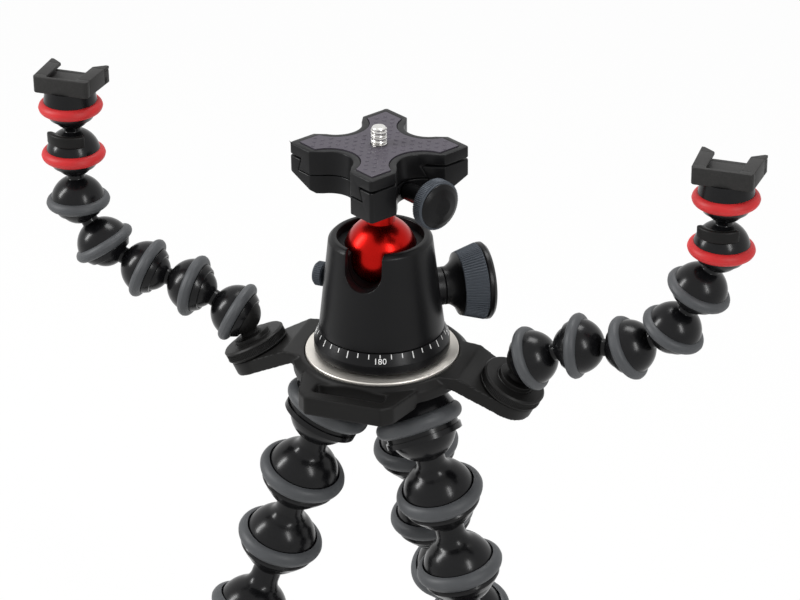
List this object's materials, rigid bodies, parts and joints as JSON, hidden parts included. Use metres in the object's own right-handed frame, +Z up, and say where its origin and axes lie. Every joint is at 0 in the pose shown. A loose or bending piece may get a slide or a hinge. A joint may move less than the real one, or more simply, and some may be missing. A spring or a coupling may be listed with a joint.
{
  "type": "flexible leg tripod",
  "caption": "Camera tripod with a ball head and quick-release plate on flexible ball-and-socket legs, with jointed side arms that end in cold shoes.",
  "frame": {"origin": "middle of the camera seat, on the pad's top face", "axes": "+Z up along the camera screw, +X towards the arm on the lock knob's side, -Y towards the strap slot"},
  "size_m": [0.2973, 0.1962, 0.4003],
  "materials": {
    "steel": "turned steel",
    "black_anodised": "black satin anodised",
    "pad_rubber": "moulded grip rubber",
    "grey_anodised": "ribbed grey anodised",
    "red_anodised": "red anodised",
    "liner": "plain liner",
    "silver": "satin silver",
    "black_plastic": "satin moulded plastic",
    "ring_rubber": "grip rubber",
    "foot_rubber": "grip rubber",
    "end_links": "gloss plastic with a red grip ring",
    "gloss_links": "gloss plastic with a grey grip ring"
  },
  "bodies": {
    "base": {"platform": "silver", "head_bolt": "steel", "pan_base": "black_anodised", "rig_bracket": "black_plastic", "leg_hub": "gloss_links", "hub_rings": "ring_rubber"},
    "head": {"head_housing": "black_anodised", "ball_cup": "liner"},
    "lock": {"lock_knob": "black_anodised", "lock_knob_grip": "grey_anodised", "lock_shaft": "steel"},
    "pan_lock": {"pan_knob": "grey_anodised"},
    "ball": {"ball_stem": "red_anodised", "clamp_body": "black_anodised"},
    "jaw": {"clamp_jaw": "black_anodised"},
    "clamp_screw": {"clamp_knob": "black_anodised", "clamp_knob_grip": "grey_anodised"},
    "plate": {"quick_release_plate": "black_anodised", "plate_pad": "pad_rubber"},
    "screw": {"camera_screw": "steel"},
    "left_wheel": {"left_arm_wheel": "black_plastic"},
    "left_arm_1": {"left_arm_link_1": "gloss_links"},
    "left_arm_2": {"left_arm_link_2": "gloss_links"},
    "left_arm_3": {"left_arm_link_3": "gloss_links"},
    "left_arm_4": {"left_arm_link_4": "gloss_links"},
    "left_arm_5": {"left_arm_link_5": "gloss_links"},
    "left_arm_6": {"left_arm_end_link": "end_links"},
    "left_arm_7": {"left_arm_shoe": "end_links"},
    "right_wheel": {"right_arm_wheel": "black_plastic"},
    "right_arm_1": {"right_arm_link_1": "gloss_links"},
    "right_arm_2": {"right_arm_link_2": "gloss_links"},
    "right_arm_3": {"right_arm_link_3": "gloss_links"},
    "right_arm_4": {"right_arm_link_4": "gloss_links"},
    "right_arm_5": {"right_arm_link_5": "gloss_links"},
    "right_arm_6": {"right_arm_end_link": "end_links"},
    "right_arm_7": {"right_arm_shoe": "end_links"},
    "left_leg_1": {"left_leg_link_1": "gloss_links"},
    "left_leg_2": {"left_leg_link_2": "gloss_links"},
    "left_leg_3": {"left_leg_link_3": "gloss_links"},
    "left_leg_4": {"left_leg_link_4": "gloss_links"},
    "left_leg_5": {"left_leg_link_5": "gloss_links"},
    "left_leg_6": {"left_leg_link_6": "gloss_links"},
    "left_leg_7": {"left_leg_link_7": "gloss_links"},
    "left_foot": {"left_leg_foot": "foot_rubber"},
    "right_leg_1": {"right_leg_link_1": "gloss_links"},
    "right_leg_2": {"right_leg_link_2": "gloss_links"},
    "right_leg_3": {"right_leg_link_3": "gloss_links"},
    "right_leg_4": {"right_leg_link_4": "gloss_links"},
    "right_leg_5": {"right_leg_link_5": "gloss_links"},
    "right_leg_6": {"right_leg_link_6": "gloss_links"},
    "right_leg_7": {"right_leg_link_7": "gloss_links"},
    "right_foot": {"right_leg_foot": "foot_rubber"},
    "rear_leg_1": {"rear_leg_link_1": "gloss_links"},
    "rear_leg_2": {"rear_leg_link_2": "gloss_links"},
    "rear_leg_3": {"rear_leg_link_3": "gloss_links"},
    "rear_leg_4": {"rear_leg_link_4": "gloss_links"},
    "rear_leg_5": {"rear_leg_link_5": "gloss_links"},
    "rear_leg_6": {"rear_leg_link_6": "gloss_links"},
    "rear_leg_7": {"rear_leg_link_7": "gloss_links"},
    "rear_foot": {"rear_leg_foot": "foot_rubber"}
  },
  "joints": [
    {"name": "pan", "type": "hinge", "parent": "base", "child": "head", "pos_m": [0, 0, -0.09], "axis": [0, 0, 1], "continuous": true},
    {"name": "lock_turn", "type": "hinge", "parent": "head", "child": "lock", "pos_m": [0, 0, -0.066], "axis": [0.8192, 0.5736, 0], "range_deg": [0, 360]},
    {"name": "pan_lock_turn", "type": "hinge", "parent": "head", "child": "pan_lock", "pos_m": [0, 0, -0.062], "axis": [-0.9976, 0.0698, 0], "range_deg": [0, 360]},
    {"name": "ball_tilt", "type": "hinge", "parent": "head", "child": "ball", "pos_m": [0, 0, -0.0465], "axis": [1, 0, 0], "range_deg": [-35, 90]},
    {"name": "clamp_open", "type": "slide", "parent": "ball", "child": "jaw", "axis": [0.866, -0.5, 0], "range_m": [0, 0.004]},
    {"name": "clamp_turn", "type": "hinge", "parent": "jaw", "child": "clamp_screw", "pos_m": [0, 0, -0.01465], "axis": [0.866, -0.5, 0], "range_deg": [0, 1152]},
    {"name": "plate_slide", "type": "slide", "parent": "ball", "child": "plate", "axis": [0.5, 0.866, 0], "range_m": [-0.012, 0.055]},
    {"name": "camera_screw_turn", "type": "hinge", "parent": "plate", "child": "screw", "pos_m": [0, 0, 0], "axis": [0, 0, 1], "continuous": true},
    {"name": "left_wheel_turn", "type": "hinge", "parent": "base", "child": "left_wheel", "pos_m": [-0.054, 0, -0.0996], "axis": [-0.4695, 0, 0.8829], "range_deg": [-60, 60]},
    {"name": "left_arm_1_bend", "type": "hinge", "parent": "left_wheel", "child": "left_arm_1", "pos_m": [-0.06175, 0, -0.08503], "axis": [0, -1, 0], "range_deg": [-35, 1]},
    {"name": "left_arm_2_bend", "type": "hinge", "parent": "left_arm_1", "child": "left_arm_2", "pos_m": [-0.08062, 0, -0.07583], "axis": [0, 1, 0], "range_deg": [-24, 35]},
    {"name": "left_arm_3_bend", "type": "hinge", "parent": "left_arm_2", "child": "left_arm_3", "pos_m": [-0.10108, 0, -0.0711], "axis": [0, -1, 0], "range_deg": [-28, 35]},
    {"name": "left_arm_4_bend", "type": "hinge", "parent": "left_arm_3", "child": "left_arm_4", "pos_m": [-0.12055, 0, -0.06323], "axis": [0, 1, 0], "range_deg": [-35, 1]},
    {"name": "left_arm_5_bend", "type": "hinge", "parent": "left_arm_4", "child": "left_arm_5", "pos_m": [-0.13168, 0, -0.04543], "axis": [0, -1, 0], "range_deg": [-7, 35]},
    {"name": "left_arm_6_bend", "type": "hinge", "parent": "left_arm_5", "child": "left_arm_6", "pos_m": [-0.13242, 0, -0.02444], "axis": [0, 1, 0], "range_deg": [-35, 35]},
    {"name": "left_arm_7_bend", "type": "hinge", "parent": "left_arm_6", "child": "left_arm_7", "pos_m": [-0.13242, 0, -0.00344], "axis": [0, -1, 0], "range_deg": [-35, 35]},
    {"name": "right_wheel_turn", "type": "hinge", "parent": "base", "child": "right_wheel", "pos_m": [0.054, 0, -0.0996], "axis": [0.4695, 0, 0.8829], "range_deg": [-60, 60]},
    {"name": "right_arm_1_bend", "type": "hinge", "parent": "right_wheel", "child": "right_arm_1", "pos_m": [0.06175, 0, -0.08503], "axis": [0, 1, 0], "range_deg": [-35, 1]},
    {"name": "right_arm_2_bend", "type": "hinge", "parent": "right_arm_1", "child": "right_arm_2", "pos_m": [0.08062, 0, -0.07583], "axis": [0, -1, 0], "range_deg": [-17, 35]},
    {"name": "right_arm_3_bend", "type": "hinge", "parent": "right_arm_2", "child": "right_arm_3", "pos_m": [0.10151, 0, -0.07363], "axis": [0, 1, 0], "range_deg": [-13, 35]},
    {"name": "right_arm_4_bend", "type": "hinge", "parent": "right_arm_3", "child": "right_arm_4", "pos_m": [0.11969, 0, -0.06313], "axis": [0, -1, 0], "range_deg": [-35, 4]},
    {"name": "right_arm_5_bend", "type": "hinge", "parent": "right_arm_4", "child": "right_arm_5", "pos_m": [0.12923, 0, -0.04442], "axis": [0, 1, 0], "range_deg": [-34, 35]},
    {"name": "right_arm_6_bend", "type": "hinge", "parent": "right_arm_5", "child": "right_arm_6", "pos_m": [0.13777, 0, -0.02524], "axis": [0, -1, 0], "range_deg": [-35, 16]},
    {"name": "right_arm_7_bend", "type": "hinge", "parent": "right_arm_6", "child": "right_arm_7", "pos_m": [0.13887, 0, -0.00426], "axis": [0, 1, 0], "range_deg": [-34, 35]},
    {"name": "left_leg_1_bend", "type": "hinge", "parent": "base", "child": "left_leg_1", "pos_m": [-0.02079, -0.012, -0.117], "axis": [0.4385, -0.8756, -0.2024], "range_deg": [-25, 4]},
    {"name": "left_leg_2_bend", "type": "hinge", "parent": "left_leg_1", "child": "left_leg_2", "pos_m": [-0.03298, -0.01029, -0.15083], "axis": [-0.7676, -0.5962, 0.2353], "range_deg": [-25, 25]},
    {"name": "left_leg_3_bend", "type": "hinge", "parent": "left_leg_2", "child": "left_leg_3", "pos_m": [-0.04408, -0.00951, -0.18507], "axis": [-0.5736, 0.8192, 0], "range_deg": [-25, 25]},
    {"name": "left_leg_4_bend", "type": "hinge", "parent": "left_leg_3", "child": "left_leg_4", "pos_m": [-0.05511, -0.01723, -0.21845], "axis": [0.7597, 0.5319, -0.3741], "range_deg": [-25, 25]},
    {"name": "left_leg_5_bend", "type": "hinge", "parent": "left_leg_4", "child": "left_leg_5", "pos_m": [-0.06614, -0.02496, -0.25184], "axis": [0.5736, -0.8192, 0], "range_deg": [-25, 25]},
    {"name": "left_leg_6_bend", "type": "hinge", "parent": "left_leg_5", "child": "left_leg_6", "pos_m": [-0.07717, -0.03268, -0.28523], "axis": [-0.7597, -0.5319, 0.3741], "range_deg": [-25, 25]},
    {"name": "left_leg_7_bend", "type": "hinge", "parent": "left_leg_6", "child": "left_leg_7", "pos_m": [-0.0882, -0.04041, -0.31861], "axis": [-0.5736, 0.8192, 0], "range_deg": [-25, 25]},
    {"name": "left_foot_bend", "type": "hinge", "parent": "left_leg_7", "child": "left_foot", "pos_m": [-0.09923, -0.04813, -0.352], "axis": [0.5736, -0.8192, 0], "range_deg": [-25, 20]},
    {"name": "right_leg_1_bend", "type": "hinge", "parent": "base", "child": "right_leg_1", "pos_m": [0.02079, -0.012, -0.117], "axis": [0.4731, 0.8496, 0.2332], "range_deg": [-25, 4]},
    {"name": "right_leg_2_bend", "type": "hinge", "parent": "right_leg_1", "child": "right_leg_2", "pos_m": [0.02694, -0.00584, -0.15193], "axis": [0.625, -0.7751, 0.0931], "range_deg": [-25, 25]},
    {"name": "right_leg_3_bend", "type": "hinge", "parent": "right_leg_2", "child": "right_leg_3", "pos_m": [0.03476, -0.00375, -0.18701], "axis": [-0.766, -0.6428, 0], "range_deg": [-25, 22]},
    {"name": "right_leg_4_bend", "type": "hinge", "parent": "right_leg_3", "child": "right_leg_4", "pos_m": [0.04402, -0.01477, -0.22001], "axis": [-0.5892, 0.7022, -0.3998], "range_deg": [-25, 25]},
    {"name": "right_leg_5_bend", "type": "hinge", "parent": "right_leg_4", "child": "right_leg_5", "pos_m": [0.05327, -0.02579, -0.253], "axis": [0.766, 0.6428, 0], "range_deg": [-25, 25]},
    {"name": "right_leg_6_bend", "type": "hinge", "parent": "right_leg_5", "child": "right_leg_6", "pos_m": [0.06252, -0.03682, -0.286], "axis": [0.5892, -0.7022, 0.3998], "range_deg": [-25, 25]},
    {"name": "right_leg_7_bend", "type": "hinge", "parent": "right_leg_6", "child": "right_leg_7", "pos_m": [0.07177, -0.04784, -0.319], "axis": [-0.766, -0.6428, 0], "range_deg": [-25, 25]},
    {"name": "right_foot_bend", "type": "hinge", "parent": "right_leg_7", "child": "right_foot", "pos_m": [0.08102, -0.05887, -0.352], "axis": [0.766, 0.6428, 0], "range_deg": [-25, 18]},
    {"name": "rear_leg_1_bend", "type": "hinge", "parent": "base", "child": "rear_leg_1", "pos_m": [0, 0.024, -0.117], "axis": [-0.9924, 0.0152, -0.1218], "range_deg": [-25, 4]},
    {"name": "rear_leg_2_bend", "type": "hinge", "parent": "rear_leg_1", "child": "rear_leg_2", "pos_m": [0.00442, 0.02842, -0.15245], "axis": [0.2362, 0.9551, 0.179], "range_deg": [-25, 25]},
    {"name": "rear_leg_3_bend", "type": "hinge", "parent": "rear_leg_2", "child": "rear_leg_3", "pos_m": [0.00971, 0.03371, -0.18767], "axis": [0.9659, -0.2588, 0], "range_deg": [-25, 25]},
    {"name": "rear_leg_4_bend", "type": "hinge", "parent": "rear_leg_3", "child": "rear_leg_4", "pos_m": [0.01351, 0.0479, -0.22053], "axis": [-0.2363, -0.8819, -0.408], "range_deg": [-25, 25]},
    {"name": "rear_leg_5_bend", "type": "hinge", "parent": "rear_leg_4", "child": "rear_leg_5", "pos_m": [0.01732, 0.06209, -0.2534], "axis": [-0.9659, 0.2588, 0], "range_deg": [-25, 25]},
    {"name": "rear_leg_6_bend", "type": "hinge", "parent": "rear_leg_5", "child": "rear_leg_6", "pos_m": [0.02112, 0.07628, -0.28627], "axis": [0.2363, 0.8819, 0.408], "range_deg": [-25, 25]},
    {"name": "rear_leg_7_bend", "type": "hinge", "parent": "rear_leg_6", "child": "rear_leg_7", "pos_m": [0.02492, 0.09047, -0.31913], "axis": [0.9659, -0.2588, 0], "range_deg": [-25, 25]},
    {"name": "rear_foot_bend", "type": "hinge", "parent": "rear_leg_7", "child": "rear_foot", "pos_m": [0.02872, 0.10466, -0.352], "axis": [-0.9659, 0.2588, 0], "range_deg": [-25, 17]}
  ],
  "couplings": [
    {"joint": "clamp_open", "follows": "clamp_turn", "m_per_rad": 0.00019894}
  ]
}
